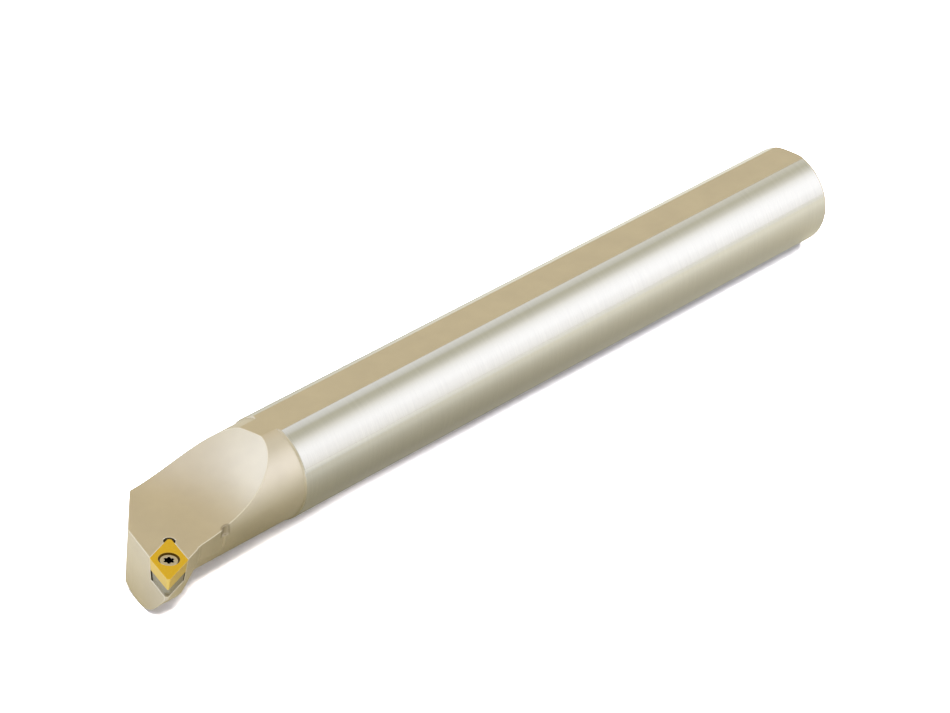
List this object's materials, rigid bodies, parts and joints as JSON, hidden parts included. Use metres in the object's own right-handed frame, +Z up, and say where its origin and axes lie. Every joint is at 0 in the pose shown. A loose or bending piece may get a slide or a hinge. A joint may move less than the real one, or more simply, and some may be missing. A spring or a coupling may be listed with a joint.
{
  "type": "boring bar",
  "caption": "Indexable boring bar: round flatted steel shank, offset head with a scooped chip space, and a gold-coloured diamond-shaped insert on a shim, held by a screw.",
  "frame": {"origin": "centre of the shank's end face, on the shank's axis", "axes": "+X along the shank's axis and out of its end face, so the head points to -X; the nose of the insert reaches towards -Y; +Z up, square to the two clamping flats, with the cutting edge level with the axis"},
  "size_m": [0.3, 0.038, 0.0342],
  "materials": {
    "nickelled_steel": "ground and polished on the round shank, satin nickel with a warm tint on the flats, neck and head",
    "shim_carbide": "plain ground carbide, matt grey",
    "shim_screw_steel": "blackened steel",
    "coated_carbide": "gold-coloured hard coating, satin",
    "screw_steel": "bare turned steel, slightly shiny"
  },
  "bodies": {
    "root": {"bar": "nickelled_steel", "shim": "shim_carbide", "shim_screw": "shim_screw_steel", "insert": "coated_carbide", "insert_screw": "screw_steel"}
  },
  "joints": []
}
